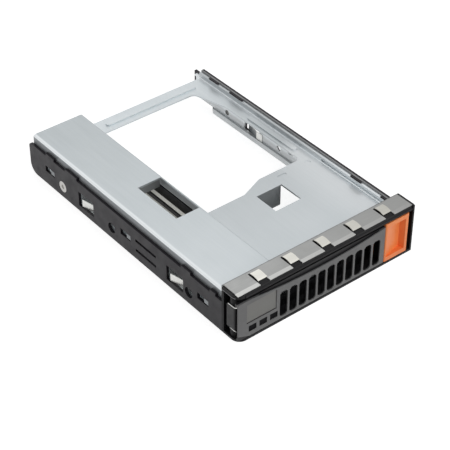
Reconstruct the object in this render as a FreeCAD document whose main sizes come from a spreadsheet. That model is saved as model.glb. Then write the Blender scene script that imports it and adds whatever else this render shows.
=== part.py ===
import FreeCAD, Part
import math
import os
import re
import Sketcher
from FreeCAD import Vector

# Hot swap drive caddy: a folded tray between two side rails, closed in front by a bezel whose
# slotted lever swings out once the release button is pushed aside.
#
# Millimetres. X runs to the right, Y from the front to the rear, Z up. Every piece is drawn with
# its front at Y = 0 and is then placed half the length forward, so that the part's origin is the
# middle of the rectangle it stands on. "front", "rear" and "end" sizes are measured from the
# front face; "height", "low" and "top" ones from the surface the caddy stands on; sizes named
# after a side are measured from the middle plane.

SIZES = [
    ("overall_width", 106, "over the outer faces of the rails"),
    ("overall_height", 27.9, "up to the tops of the contact fingers"),
    ("overall_length", 166, "front of the lever to the rear of the rails"),
    # side rails
    ("rail_wall", 1.4, "thickness of a rail"),
    ("rail_height", 17.4, "height of the left rail"),
    ("right_rail_height", 21.4, "height of the right rail"),
    ("rail_lip", 0.8, "thickness of the right rail's lip over the tray's rim"),
    ("rail_lip_width", 0.35, "how far that lip reaches in"),
    ("clip_reach", 2, "how far the clips on that lip reach in"),
    ("rear_step", 6.5, "length of the lowered rear end of the right rail"),
    ("rear_step_top", 18, "top of that lowered end"),
    ("rear_step_low", 3.4, "lower edge of the right rail's rear end"),
    ("rear_low_length", 15.5, "length of that raised lower edge"),
    ("rail_low_radius", 5.5, "rounding of the rear lower corner"),
    ("rail_top_radius", 2, "rounding of the rear upper corner"),
    ("rail_clip_rise", 1.4, "how far the clips stand above the rail"),
    ("hook_length", 8, "length of a hook slot"),
    ("hook_low", 7.6, "lower edge of a hook slot"),
    ("hook_height", 3.4, "height of a hook slot"),
    ("leaf_window_length", 12.5, "length of a window for a spring leaf"),
    ("leaf_window_low", 3.4, "lower edge of such a window"),
    ("leaf_window_height", 8.3, "height of such a window"),
    ("leaf_length", 8.3, "length of a leaf's free end"),
    ("leaf_tab", 4.5, "length of its fixed end, inside the tray's wall"),
    ("leaf_tip_gap", 2.3, "from a leaf's tip to the rear of its window"),
    ("leaf_low", 3.6, "lower edge of a leaf"),
    ("leaf_height", 4.3, "height of a leaf"),
    ("leaf_inset", 0.5, "how far a leaf's tip stays behind the rail's face"),
    ("leaf_wall", 0.4, "thickness of a spring leaf"),
    ("slit_front", 60, "front end of the two slits"),
    ("slit_length", 16, "length of the slits"),
    ("slit_height", 1.5, "height of a slit"),
    ("slit_low", 4.6, "lower edge of the lower slit"),
    ("slit_pitch", 5.7, "rise from one slit to the other"),
    ("side_hole_height", 6.35, "height of the side holes, as on the drive"),
    ("side_hole", 5.6, "diameter of the open side holes"),
    ("side_screw_front", 137, "place of the screw that holds a rail"),
    ("side_hole_pitch", 41.6, "from that screw to the middle side hole"),
    ("side_hole_span", 101.6, "from that screw to the front side hole"),
    ("boss_hole", 3.4, "hole in the tray's wall behind a side hole"),
    # tray
    ("sheet_wall", 0.9, "thickness of the tray's sheet"),
    ("sheet_low", 0.5, "lower edge of the tray's walls"),
    ("bend_radius", 1.4, "outer radius of the folds"),
    ("plateau_height", 22.5, "top of the raised left part"),
    ("plateau_width", 29.6, "width of the raised left part"),
    ("panel_height", 17.5, "top of the sunken part"),
    ("rim_slit_front", 18, "front end of the slit along the rim's foot"),
    ("rim_slit_length", 44, "length of that slit"),
    ("rim_slit_height", 1.2, "height of that slit"),
    ("tray_end", 163.5, "rear end of the tray"),
    ("bar_end", 158.8, "rear edge of the bar across the back"),
    ("hem_height", 3, "height of the folded hem on the right wall"),
    ("hem_end", 148, "rear end of that hem"),
    ("rear_wall_low", 3.6, "lower edge of the right wall behind the hem"),
    ("opening_front", 64.8, "front edge of the large opening, left half"),
    ("opening_offset", 5.3, "how far the right half lies behind the left"),
    ("opening_slant_inset", 25.5, "from the step to the slanted stretch"),
    ("opening_slant_width", 13.3, "width of the slanted stretch"),
    ("opening_rear", 148.6, "rear edge of the large opening"),
    ("opening_radius", 3, "rounding of the opening's corners"),
    ("ledge_width", 6.7, "width of the ledge right of the opening"),
    ("gusset_width", 5.5, "how far the rear right corner is filled"),
    ("gusset_length", 19, "how long that slanted corner is"),
    ("stop_inset", 29, "from the step to the square hole"),
    ("stop_width", 15.7, "width of the square hole"),
    ("stop_front", 45.8, "front edge of the square hole"),
    ("stop_length", 14.3, "length of the square hole"),
    ("stop_drop", 12, "how far the drive stop hangs down"),
    ("window_front", 65.3, "front edge of the window in the raised part"),
    ("window_length", 30.3, "length of that window"),
    ("window_width", 13.4, "width of that window"),
    ("window_flange", 4.4, "drop of the flange at the window's rear"),
    ("bead_rise", 0.7, "height of the stiffening beads"),
    ("bead_width", 3.2, "width of the stiffening beads"),
    ("round_dimple_inset", 5.6, "from the right rim to the small round dimple"),
    ("long_dimple_inset", 22.3, "from the right rim to the middle of the long dimple"),
    ("long_dimple_length", 5.4, "length of the long dimple"),
    ("long_dimple_width", 1.6, "width of the long dimple"),
    ("dimple_row", 0.8, "from the opening's front edge back to the dimples"),
    ("dimple_depth", 0.25, "depth of the dimples"),
    ("flange_drop", 7, "height of the front flanges behind the bezel"),
    ("flange_width", 14, "width of the front flanges"),
    ("left_flange_inset", 8, "from the step to the left flange"),
    ("right_flange_inset", 19, "from the right rim to the right flange"),
    # bezel
    ("bezel_depth", 11.5, "front face to the back of the bezel"),
    ("bezel_front", 0.6, "how far the bezel's lip stands back"),
    ("bezel_floor", 1.3, "thickness of the floor"),
    ("bezel_top", 26.9, "top of the bezel, under the strip"),
    ("bezel_skin", 1.5, "thickness of the top and the lip"),
    ("bezel_back", 1.5, "thickness of the back wall"),
    ("bezel_side", 1, "thickness of the right wall"),
    ("bezel_inset", 0.6, "from the right side of the rails to that of the bezel"),
    ("corner_radius", 4.6, "rounding of the bezel's left corners"),
    ("lip_low", 24.4, "lower edge of the lip over the lever and the button"),
    ("lip_bead", 0.4, "how far the lip's lower bead stands out"),
    ("lip_bead_height", 0.9, "height of that bead's flat front"),
    ("vent_width", 5.4, "width of a vent in the back wall"),
    ("vent_count", 5, "number of vents"),
    ("vent_inset", 34, "from the left side to the first vent"),
    ("vent_low", 3.4, "lower edge of the vents"),
    ("vent_height", 12.6, "height of the vents"),
    # strip with contact fingers
    ("strip_wall", 0.4, "thickness of the strip"),
    ("strip_front", 0.7, "front edge of the strip"),
    ("strip_end", 10.8, "rear edge of the strip"),
    ("finger_count", 5, "number of fingers"),
    ("finger_width", 5, "width of a contact finger"),
    ("finger_slit", 0.9, "width of the slit left of a finger"),
    ("finger_front", 3.4, "front end of the fingers"),
    ("finger_rear", 9.6, "rear end of the slits"),
    ("finger_inset", 13.05, "from the left side to the first slit"),
    ("finger_rest", 18.55, "from the last slit to the right side"),
    # lever
    ("lever_gap", 0.4, "gap between the lever and the button"),
    ("lever_low", 1.7, "lower edge of the lever"),
    ("lever_top", 22.6, "upper edge of the lever"),
    ("lever_wall", 1.2, "thickness of the lever's front"),
    ("lever_edge", 2.2, "thickness of its upper edge"),
    ("lever_edge_low", 17.8, "lower side of that edge"),
    ("lever_rib", 1.2, "thickness of its upper and lower ribs"),
    ("lever_rib_depth", 5.4, "depth of those ribs"),
    ("finger_dip", 2.7, "drop of the finger dip along the upper edge"),
    ("finger_dip_depth", 1, "how far the finger dip goes in"),
    ("finger_dip_inset", 48, "from the left side to the dip's lowest point"),
    ("finger_dip_half", 40, "half the length of the dip"),
    ("notch_depth", 2.4, "depth of the notch in the lever's hinged end"),
    ("notch_front", 0.6, "front side of that notch"),
    ("notch_low", 3.2, "lower end of that notch"),
    ("notch_top", 21, "upper end of that notch"),
    ("pivot_depth", 5.4, "front face to the middle of the hinge pin"),
    ("barrel_radius", 3, "half the width of the square hinge barrel"),
    ("barrel_edge", 0.8, "rounding of the barrel's edges"),
    ("barrel_low", 6.5, "lower end of the hinge barrel"),
    ("barrel_top", 19, "upper end of the hinge barrel"),
    ("pin_view", 0.8, "length of bare pin above and below the barrel"),
    ("boss_diameter", 4.8, "diameter of the bosses that hold the pin"),
    ("slot_inset", 23.9, "from the left side to the first slot"),
    ("slot_margin", 2.8, "from the last slot to the lever's right end"),
    ("slot_width", 4.5, "width of a slot"),
    ("slot_corner", 1.1, "cut of a slot's corners"),
    ("slot_count", 11, "number of slots"),
    ("slot_low", 2.9, "lower end of the slots"),
    ("slot_top", 17.3, "upper end of the slots"),
    ("label_inset", 5, "from the left side to the sunk label field"),
    ("label_width", 17, "width of the sunk label field"),
    ("label_low", 9.3, "lower edge of the sunk label field"),
    ("label_top", 20.2, "upper edge of the sunk label field"),
    ("label_depth", 0.4, "depth of the sunk label field"),
    ("lamp_inset", 6.1, "from the left side to the first lamp window"),
    ("lamp_width", 4.4, "width of a lamp window"),
    ("lamp_pitch", 6.1, "from one lamp window to the next"),
    ("lamp_count", 3, "number of lamp windows"),
    ("lamp_low", 4.1, "lower edge of the lamp windows"),
    ("lamp_height", 3.4, "height of the lamp windows"),
    ("pin_diameter", 2.6, "diameter of the hinge pin"),
    ("pin_play", 0.06, "radial play of the lever on its pin"),
    ("coil_low", 9, "lower end of the gap for the lever's spring"),
    ("coil_height", 7, "height of that gap"),
    ("coil_room", 2.4, "from the pin's middle to the sides of that gap"),
    ("coil_mean", 3.5, "mean diameter of the lever's spring"),
    # button
    ("button_width", 14.8, "width of the button"),
    ("button_gap", 2, "room for the button to travel in"),
    ("button_low", 1.6, "lower side of the button"),
    ("button_top", 23.8, "upper side of the button"),
    ("button_depth", 9.2, "front to rear of the button"),
    ("scoop_depth", 3, "depth of the thumb scoop"),
    ("scoop_start", 0.5, "depth of the scoop at its left end"),
    ("scoop_margin", 2, "rim right of the thumb scoop"),
    ("scoop_inset", 2.4, "rim above and below the scoop"),
    ("scoop_edge", 1, "width of the scoop's steep right side"),
    ("spring_diameter", 3.6, "outer diameter of the button's spring"),
    ("spring_wire", 0.5, "wire of both springs"),
    ("coil_turns", 5, "turns of both springs"),
    ("coil_steps", 12, "straight steps in a turn"),
    ("spring_depth", 5, "depth of the spring's bore in the button"),
    # light pipes
    ("pipe_side", 1.8, "side of a light pipe's square section"),
    ("pipe_upper", 9.2, "lower side of the upper pipe"),
    ("pipe_lower", 4.2, "lower side of the lower pipe"),
    ("pipe_end", 160, "rear end of the light pipes"),
    ("pipe_front", 7, "front end of the light pipes"),
    ("channel_wall", 0.8, "thickness of the light pipe channel"),
    ("channel_low", 2.4, "lower edge of the light pipe channel"),
    ("channel_front", 44, "front end of the light pipe channel"),
    ("channel_end", 156, "rear end of the light pipe channel"),
    # fasteners and fits
    ("screw_head", 6, "diameter of a screw's head"),
    ("screw_shank", 3, "diameter of a screw's shank"),
    ("gap", 0.3, "clearance between pieces that move past each other"),
    ("fit", 0.05, "clearance of a screw or pin in its hole"),
]

doc = FreeCAD.newDocument("drive_caddy")
sheet = doc.addObject("Spreadsheet::Sheet", "Sizes")
for line, (alias, size, note) in enumerate(SIZES, 1):
    sheet.set(f"A{line}", alias)
    sheet.set(f"B{line}", str(size))
    sheet.setAlias(f"B{line}", alias)
    sheet.set(f"C{line}", note)
doc.recompute()

# Places that several pieces share, as expressions of the sheet's values.
SIDE = "overall_width / 2"
TRAY_SIDE = f"({SIDE} - rail_wall)"
TRAY_INSIDE = f"({TRAY_SIDE} - sheet_wall)"
STEP = f"(plateau_width - {TRAY_SIDE})"
RIM_INSIDE = f"({TRAY_INSIDE} - sheet_wall)"
RIM_TOP = "(right_rail_height - rail_lip)"
LEDGE_INSIDE = f"({RIM_INSIDE} - ledge_width)"
PIVOT_X = f"(barrel_radius - {SIDE})"
PIVOT_Y = "pivot_depth"
BACK_FRONT = "(bezel_depth - bezel_back)"
STRIP_TOP = "(bezel_top + strip_wall)"
BEZEL_RIGHT = f"({SIDE} - bezel_inset)"
BUTTON_RIGHT = f"({BEZEL_RIGHT} - bezel_side - button_gap)"
BUTTON_LEFT = f"({BUTTON_RIGHT} - button_width)"
LEVER_RIGHT = f"({BUTTON_LEFT} - lever_gap)"
LAMP_LEFT = f"(lamp_inset - {SIDE})"
PIPE_RIGHT = f"({STEP} - channel_wall)"
PIPE_LEFT = f"({PIPE_RIGHT} - pipe_side)"
SPRING_Y = "(button_depth - spring_diameter / 2 - 0.8)"
SPRING_Z = "((button_low + button_top) / 2)"
HOOK_FRONTS = (21, 80, 144)
LEAF_FRONTS = (39.5, 110.5)
CLIP_PLACES = ((16, 4), (34, 7), (124, 10), (144, 7))
SIDE_HOLES = ("(side_screw_front - side_hole_span)", "(side_screw_front - side_hole_pitch)")


def full(expression):
    """The expression with every size looked up in the sheet."""
    return re.sub(r"\b([a-z]\w*)", r"Sizes.\1", str(expression))


def number(expression):
    """The value an expression has now."""
    return float(sheet.evalExpression(str(expression)))


def bind(item, prop, expression):
    item.setExpression(prop, full(expression))


# ---- sketch outlines -------------------------------------------------------------------------

def pin_point(sketch, shape, point, x, y):
    """Hold one point of a shape at a place given by two expressions."""
    for kind, place in (("DistanceX", x), ("DistanceY", y)):
        row = sketch.addConstraint(Sketcher.Constraint(kind, -1, 1, shape, point, number(place)))
        bind(sketch, f"Constraints[{row}]", place)


def polygon(*corners):
    """Closed outline through corners given as pairs of expressions."""
    def draw(sketch):
        points = [Vector(number(x), number(y), 0) for x, y in corners]
        first = sketch.GeometryCount
        for start, end in zip(points, points[1:] + points[:1]):
            sketch.addGeometry(Part.LineSegment(start, end), False)
        last = sketch.GeometryCount - 1
        for shape in range(first, last + 1):
            after = first if shape == last else shape + 1
            sketch.addConstraint(Sketcher.Constraint("Coincident", shape, 2, after, 1))
        for shape, (x, y) in enumerate(corners, first):
            pin_point(sketch, shape, 1, x, y)
    return draw


def rectangle(left, right, low, high):
    return polygon((left, low), (right, low), (right, high), (left, high))


def cut_rectangle(left, right, low, high, cut):
    """Rectangle with its four corners cut off."""
    return polygon((f"{left} + {cut}", low), (f"{right} - {cut}", low), (right, f"{low} + {cut}"),
                   (right, f"{high} - {cut}"), (f"{right} - {cut}", high), (f"{left} + {cut}", high),
                   (left, f"{high} - {cut}"), (left, f"{low} + {cut}"))


def circle(x, y, diameter):
    """Circle round a centre."""
    def draw(sketch):
        centre = Vector(number(x), number(y), 0)
        shape = sketch.addGeometry(Part.Circle(centre, Vector(0, 0, 1), number(diameter) / 2), False)
        pin_point(sketch, shape, 3, x, y)
        row = sketch.addConstraint(Sketcher.Constraint("Diameter", shape, number(diameter)))
        bind(sketch, f"Constraints[{row}]", diameter)
    return draw


def stadium(start, end, width):
    """Round-ended slot between the centres of its two ends."""
    def draw(sketch):
        first, second = (Vector(number(x), number(y), 0) for x, y in (start, end))
        along = (second - first).normalize()
        aside = Vector(-along.y, along.x, 0) * (number(width) / 2)
        turn = math.atan2(aside.y, aside.x)
        ends = []
        for centre, angle in ((first, turn), (second, turn + math.pi)):
            round_end = Part.Circle(centre, Vector(0, 0, 1), aside.Length)
            arc = Part.ArcOfCircle(round_end, angle, angle + math.pi)
            ends.append(sketch.addGeometry(arc, False))
        left = sketch.addGeometry(Part.LineSegment(second + aside, first + aside), False)
        right = sketch.addGeometry(Part.LineSegment(first - aside, second - aside), False)
        for pair in ((left, 2, ends[0], 1), (ends[0], 2, right, 1),
                     (right, 2, ends[1], 1), (ends[1], 2, left, 1)):
            sketch.addConstraint(Sketcher.Constraint("Tangent", *pair))
        pin_point(sketch, ends[0], 3, *start)
        pin_point(sketch, ends[1], 3, *end)
        sketch.addConstraint(Sketcher.Constraint("Equal", ends[0], ends[1]))
        row = sketch.addConstraint(Sketcher.Constraint("Diameter", ends[0], number(width)))
        bind(sketch, f"Constraints[{row}]", width)
    return draw


def arch(middle, low, half_chord, rise, wall):
    """Curved leaf over a chord: two concentric arcs joined at the chord's height."""
    def draw(sketch):
        outer_radius = f"(({half_chord})^2 + ({rise})^2) / (2 * ({rise}))"
        centre_height = f"({low}) + ({rise}) - {outer_radius}"
        centre = Vector(number(middle), number(centre_height), 0)
        arcs = []
        for radius in (outer_radius, f"{outer_radius} - {wall}"):
            size = number(radius)
            lean = math.asin((number(low) - centre.y) / size)
            curve = Part.Circle(centre, Vector(0, 0, 1), size)
            shape = sketch.addGeometry(Part.ArcOfCircle(curve, lean, math.pi - lean), False)
            pin_point(sketch, shape, 3, middle, centre_height)
            row = sketch.addConstraint(Sketcher.Constraint("Radius", shape, size))
            bind(sketch, f"Constraints[{row}]", radius)
            for point in (1, 2):
                row = sketch.addConstraint(
                    Sketcher.Constraint("DistanceY", -1, 1, shape, point, number(low)))
                bind(sketch, f"Constraints[{row}]", low)
            arcs.append(shape)
        for point in (1, 2):
            ends = [sketch.getPoint(shape, point) for shape in arcs]
            line = sketch.addGeometry(Part.LineSegment(*ends), False)
            sketch.addConstraint(Sketcher.Constraint("Coincident", line, 1, arcs[0], point))
            sketch.addConstraint(Sketcher.Constraint("Coincident", line, 2, arcs[1], point))
    return draw


# ---- bodies and features ---------------------------------------------------------------------

# Origin plane across each axis, and whether the plane faces along that axis (1) or against it.
PLANES = {"X": ("YZ_Plane", 1), "Y": ("XZ_Plane", -1), "Z": ("XY_Plane", 1)}


def new_body(label):
    """Body of one piece, placed half the caddy's length forward."""
    body = doc.addObject("PartDesign::Body", label)
    body.Label = label
    bind(body, "Placement.Base.y", "-overall_length / 2")
    return body


def sketch_across(body, name, axis, place, outlines):
    """Sketch at a place along an axis, on the origin plane across it."""
    role, facing = PLANES[axis]
    sketch = body.newObject("Sketcher::SketchObject", name + "_sketch")
    plane = next(item for item in body.Origin.OriginFeatures if item.Role == role)
    sketch.AttachmentSupport = [(plane, "")]
    sketch.MapMode = "FlatFace"
    bind(sketch, "AttachmentOffset.Base.z", f"{facing} * ({place})")
    for draw in outlines:
        draw(sketch)
    return sketch


def extrude(body, kind, name, axis, start, end, *outlines):
    """Pad or Pocket from start to end along an axis, the end being the larger place."""
    sketch = sketch_across(body, name, axis, start, outlines)
    facing = PLANES[axis][1]
    feature = body.newObject("PartDesign::" + kind, name)
    feature.Profile = sketch
    bind(feature, "Length", f"({end}) - ({start})")
    # A pad grows along its sketch's normal and a pocket against it.
    feature.Reversed = (facing < 0) == (kind == "Pad")
    body.Tip = feature
    return feature


def revolve(body, kind, name, place, centre, outline):
    """Revolution or Groove of an outline about a line along X through a centre."""
    sketch = sketch_across(body, name, "Y", place, [outline])
    start = Vector(number(centre[0]), number(centre[1]), 0)
    shape = sketch.addGeometry(Part.LineSegment(start, start + Vector(1, 0, 0)), True)
    pin_point(sketch, shape, 1, *centre)
    sketch.addConstraint(Sketcher.Constraint("Horizontal", shape))
    sketch.addConstraint(Sketcher.Constraint("Distance", shape, 1.0))
    feature = body.newObject("PartDesign::" + kind, name)
    feature.Profile = sketch
    feature.ReferenceAxis = (sketch, ["Axis0"])
    feature.Angle = 360
    body.Tip = feature
    return feature


def repeat(body, features, name, axis, span, count):
    """Row of copies of some features over a span along an axis of the first one's sketch."""
    pattern = body.newObject("PartDesign::LinearPattern", name)
    pattern.Originals = features
    pattern.Direction = (features[0].Profile[0], [axis])
    bind(pattern, "Length", span)
    bind(pattern, "Occurrences", count)
    body.Tip = pattern
    return pattern


def edges_along(feature, axis, *places):
    """Names of the straight edges along an axis that cross the given places."""
    doc.recompute()
    run = "XYZ".index(axis)
    across = [index for index in range(3) if index != run]
    wanted = [tuple(number(value) for value in place) for place in places]
    names = []
    for position, edge in enumerate(feature.Shape.Edges, 1):
        first, last = edge.Vertexes[0].Point, edge.Vertexes[-1].Point
        for place in wanted:
            offsets = [abs(point[index] - value) for point in (first, last)
                       for index, value in zip(across, place)]
            if max(offsets) < 0.01 and (last - first).Length > 0.01:
                names.append(f"Edge{position}")
    if len(names) < len(places):
        raise RuntimeError(f"{feature.Label}: an edge to be rounded is missing")
    return names


def round_edges(body, name, radius, feature, axis, *places):
    """Fillet on the edges of a feature that run along an axis through the given places."""
    fillet = body.newObject("PartDesign::Fillet", name)
    fillet.Base = (feature, edges_along(feature, axis, *places))
    bind(fillet, "Radius", radius)
    body.Tip = fillet
    return fillet


# ---- tray ------------------------------------------------------------------------------------

def make_tray():
    """The folded sheet: raised left part, sunken part with the large opening, and both walls."""
    body = new_body("tray")
    under_plateau = "(plateau_height - sheet_wall)"
    under_panel = "(panel_height - sheet_wall)"
    step_inside = f"({STEP} - sheet_wall)"
    section = polygon(
        (f"-{TRAY_SIDE}", "sheet_low"), (f"-{TRAY_SIDE}", "plateau_height"), (STEP, "plateau_height"),
        (STEP, "panel_height"), (RIM_INSIDE, "panel_height"), (RIM_INSIDE, RIM_TOP),
        (TRAY_SIDE, RIM_TOP), (TRAY_SIDE, "sheet_low"),
        (RIM_INSIDE, "sheet_low"), (RIM_INSIDE, "sheet_low + hem_height"),
        (TRAY_INSIDE, "sheet_low + hem_height"), (TRAY_INSIDE, under_panel),
        (step_inside, under_panel), (step_inside, under_plateau),
        (f"-{TRAY_INSIDE}", under_plateau), (f"-{TRAY_INSIDE}", "sheet_low"))
    fold = extrude(body, "Pad", "folded_sheet", "Y", "bezel_depth", "tray_end", section)
    outer = round_edges(body, "outer_bends", "bend_radius", fold, "Y",
                        (f"-{TRAY_SIDE}", "plateau_height"), (STEP, "plateau_height"),
                        (step_inside, under_panel))
    inner = round_edges(body, "inner_bends", "bend_radius - sheet_wall", outer, "Y",
                        (f"-{TRAY_INSIDE}", under_plateau), (step_inside, under_plateau),
                        (STEP, "panel_height"), (RIM_INSIDE, "panel_height"))
    round_edges(body, "rim_bend", "sheet_wall * 0.8", inner, "Y",
                (RIM_INSIDE, RIM_TOP), (TRAY_SIDE, RIM_TOP))

    # Large opening, its front edge set back on the right and its rear right corner filled.
    right_front = "opening_front + opening_offset"
    slant_left = f"({STEP} + opening_slant_inset)"
    opening = polygon(
        (STEP, "opening_front"), (slant_left, "opening_front"),
        (f"{slant_left} + opening_slant_width", right_front), (LEDGE_INSIDE, right_front),
        (LEDGE_INSIDE, "opening_rear - gusset_length"),
        (f"{LEDGE_INSIDE} - gusset_width", "opening_rear"), (STEP, "opening_rear"))
    cut = extrude(body, "Pocket", "large_opening", "Z", "sheet_low + hem_height", "panel_height + 1",
                  opening)
    round_edges(body, "opening_corners", "opening_radius", cut, "Z",
                (LEDGE_INSIDE, right_front), (f"{LEDGE_INSIDE} - gusset_width", "opening_rear"))

    # Behind the bar only the raised part and the right wall go on.
    extrude(body, "Pocket", "rear_notch", "Z", "sheet_low + hem_height", "panel_height + 1",
            rectangle(STEP, RIM_INSIDE, "bar_end", "tray_end + 1"))
    extrude(body, "Pocket", "rear_wall_edge", "Y", "hem_end", "tray_end + 1",
            rectangle(f"{RIM_INSIDE} - 1", f"{TRAY_SIDE} + 1", "0", "rear_wall_low"))
    extrude(body, "Pocket", "rim_end", "Z", "panel_height", f"{RIM_TOP} + 1",
            rectangle(f"{RIM_INSIDE} - 1", f"{TRAY_SIDE} + 1", "overall_length - rear_step", "tray_end + 1"))
    slit_low = "(panel_height + bend_radius - sheet_wall)"
    extrude(body, "Pocket", "rim_slit", "X", f"{RIM_INSIDE} - 1", TRAY_INSIDE,
            rectangle("rim_slit_front", "rim_slit_front + rim_slit_length",
                      slit_low, f"{slit_low} + rim_slit_height"))

    # Square hole and the stop for the drive, turned down from its rear edge.
    stop_left = f"({STEP} + stop_inset)"
    stop_rear = "stop_front + stop_length"
    extrude(body, "Pocket", "square_hole", "Z", under_panel + " - 1", "panel_height + 1",
            rectangle(stop_left, f"{stop_left} + stop_width", "stop_front", stop_rear))
    extrude(body, "Pad", "drive_stop", "Z", "panel_height - stop_drop", under_panel,
            rectangle(f"{stop_left} + 0.5", f"{stop_left} + stop_width - 0.5", stop_rear,
                      f"{stop_rear} + sheet_wall"))

    # Window beside the step, with a flange turned down from its rear edge.
    window_right = f"({STEP} - bend_radius)"
    window_left = f"({window_right} - window_width)"
    window_rear = "window_front + window_length"
    extrude(body, "Pocket", "window", "Z", under_plateau + " - 1", "plateau_height + 1",
            rectangle(window_left, window_right, "window_front", window_rear))
    extrude(body, "Pad", "window_flange", "Z", f"{under_plateau} - window_flange", under_plateau,
            rectangle(f"{window_left} + 1.5", f"{window_right} - 0.5", window_rear,
                      f"{window_rear} + sheet_wall"))

    # Beads pressed up from below, one along the rear bar and one along the ledge.
    bar_middle = "(opening_rear + bar_end) / 2"
    ledge_middle = f"({LEDGE_INSIDE} + {RIM_INSIDE}) / 2"
    bead_ends = (((f"{STEP} + 9", bar_middle), (f"{RIM_INSIDE} - 9", bar_middle)),
                 ((ledge_middle, "opening_front + 14"), (ledge_middle, "opening_rear - 36")))
    for place, (start, end) in zip(("bar", "ledge"), bead_ends):
        extrude(body, "Pad", place + "_bead", "Z", "panel_height", "panel_height + bead_rise",
                stadium(start, end, "bead_width"))
        extrude(body, "Pocket", place + "_bead_hollow", "Z", under_panel, f"{under_panel} + bead_rise",
                stadium(start, end, "bead_width - sheet_wall"))

    # Shallow dimples in the sunken part.
    row = "opening_front + dimple_row"
    middle = f"{RIM_INSIDE} - long_dimple_inset"
    reach = "(long_dimple_length - long_dimple_width) / 2"
    extrude(body, "Pocket", "dimples", "Z", "panel_height - dimple_depth", "panel_height + 1",
            circle(f"{RIM_INSIDE} - round_dimple_inset", row, "boss_hole"),
            stadium((f"{middle} - {reach}", row), (f"{middle} + {reach}", row), "long_dimple_width"))

    # Walls: holes behind the rails' openings, hooks that hold the rails, and the flanges that
    # the bezel is screwed to.
    side_cuts = [rectangle(front, f"{front} + leaf_window_length", "leaf_window_low",
                           "leaf_window_low + leaf_window_height") for front in LEAF_FRONTS]
    side_cuts += [rectangle(f"{front} + hook_length / 2", f"{front} + hook_length", "hook_low",
                            "hook_low + hook_height") for front in HOOK_FRONTS]
    side_cuts += [rectangle("slit_front", "slit_front + slit_length", "slit_low",
                            "slit_low + slit_pitch + slit_height")]
    side_cuts += [circle(place, "side_hole_height", "boss_hole")
                  for place in SIDE_HOLES]
    side_cuts += [circle("side_screw_front", "side_hole_height", "screw_shank + 2 * fit")]
    extrude(body, "Pocket", "left_wall_holes", "X", f"-{TRAY_SIDE} - 1", f"1 - {TRAY_INSIDE}", *side_cuts)
    extrude(body, "Pocket", "right_wall_holes", "X", f"{TRAY_INSIDE}", f"{TRAY_SIDE} + 1", *side_cuts)
    hooks = [rectangle(f"{front} + fit", f"{front} + hook_length * 0.4", "hook_low + 0.5",
                       "hook_low + hook_height - 0.5") for front in HOOK_FRONTS]
    hook_reach = "rail_wall - 0.2"
    extrude(body, "Pad", "left_hooks", "X", f"-{TRAY_SIDE} - ({hook_reach})", f"-{TRAY_SIDE}", *hooks)
    extrude(body, "Pad", "right_hooks", "X", TRAY_SIDE, f"{TRAY_SIDE} + {hook_reach}", *hooks)
    for side, middle, top in screw_places():
        extrude(body, "Pad", side + "_flange", "Y", "bezel_depth", "bezel_depth + sheet_wall",
                rectangle(f"{middle} - flange_width / 2", f"{middle} + flange_width / 2",
                          f"{top} - flange_drop", top))
        extrude(body, "Pocket", side + "_flange_hole", "Y", "bezel_depth - 1",
                "bezel_depth + sheet_wall + 1",
                circle(middle, f"{top} - flange_drop / 2", "screw_shank + 2 * fit"))


def screw_places():
    """Side name, X place and upper edge of the two flanges behind the bezel."""
    return (("left", f"({STEP} - left_flange_inset - flange_width / 2)", "(plateau_height - sheet_wall)"),
            ("right", f"({RIM_INSIDE} - right_flange_inset - flange_width / 2)",
             "(panel_height - sheet_wall)"))


# ---- side rails ------------------------------------------------------------------------------

def make_rail(side, hand):
    """Side rail, pressed over the tray's hooks and held by one screw."""
    body = new_body(f"{side}_rail")
    low, high = sorted((f"{hand} * ({SIDE})", f"{hand} * {TRAY_SIDE}"), key=number)
    top = "rail_height" if side == "left" else "right_rail_height"
    plate = extrude(body, "Pad", "plate", "X", low, high,
                    rectangle("bezel_depth", "overall_length", "0", top))
    rear_low = round_edges(body, "rear_low_corner", "rail_low_radius", plate, "X",
                           ("overall_length", "0"))
    round_edges(body, "rear_top_corner", "rail_top_radius", rear_low, "X",
                ("overall_length", top))
    if side == "left":
        extrude(body, "Pad", "clips", "X", low, high,
                *[rectangle(front, f"{front} + {length}", f"{top} - 1", f"{top} + rail_clip_rise")
                  for front, length in CLIP_PLACES])
    else:
        under_lip = f"{top} - rail_lip"
        extrude(body, "Pad", "lip", "Z", under_lip, top,
                rectangle(f"{TRAY_SIDE} - rail_lip_width", TRAY_SIDE, "bezel_depth", "overall_length"))
        extrude(body, "Pad", "clips", "Z", under_lip, top,
                *[rectangle(f"{TRAY_SIDE} - clip_reach", TRAY_SIDE, front, f"{front} + {length}")
                  for front, length in CLIP_PLACES])
        step = "overall_length - rear_step"
        extrude(body, "Pocket", "rear_steps", "X", f"{TRAY_SIDE} - clip_reach - 1", f"{high} + 1",
                rectangle(step, "overall_length + 1", "rear_step_top", f"{top} + 1"),
                rectangle("overall_length - rear_low_length", "overall_length + 1", "-1", "rear_step_low"))
    cuts = [rectangle(front, f"{front} + hook_length", "hook_low", "hook_low + hook_height")
            for front in HOOK_FRONTS]
    cuts += [rectangle(front, f"{front} + leaf_window_length", "leaf_window_low",
                       "leaf_window_low + leaf_window_height") for front in LEAF_FRONTS]
    cuts += [rectangle("slit_front", "slit_front + slit_length", f"slit_low + {row} * slit_pitch",
                       f"slit_low + {row} * slit_pitch + slit_height") for row in (0, 1)]
    cuts += [circle(place, "side_hole_height", "side_hole") for place in SIDE_HOLES]
    extrude(body, "Pocket", "openings", "X", f"{low} - 1", f"{high} + 1", *cuts)
    revolve(body, "Groove", "screw_seat", "side_screw_front", (f"{hand} * ({SIDE})", "side_hole_height"),
            screw_section(hand, "fit", "1"))


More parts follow.
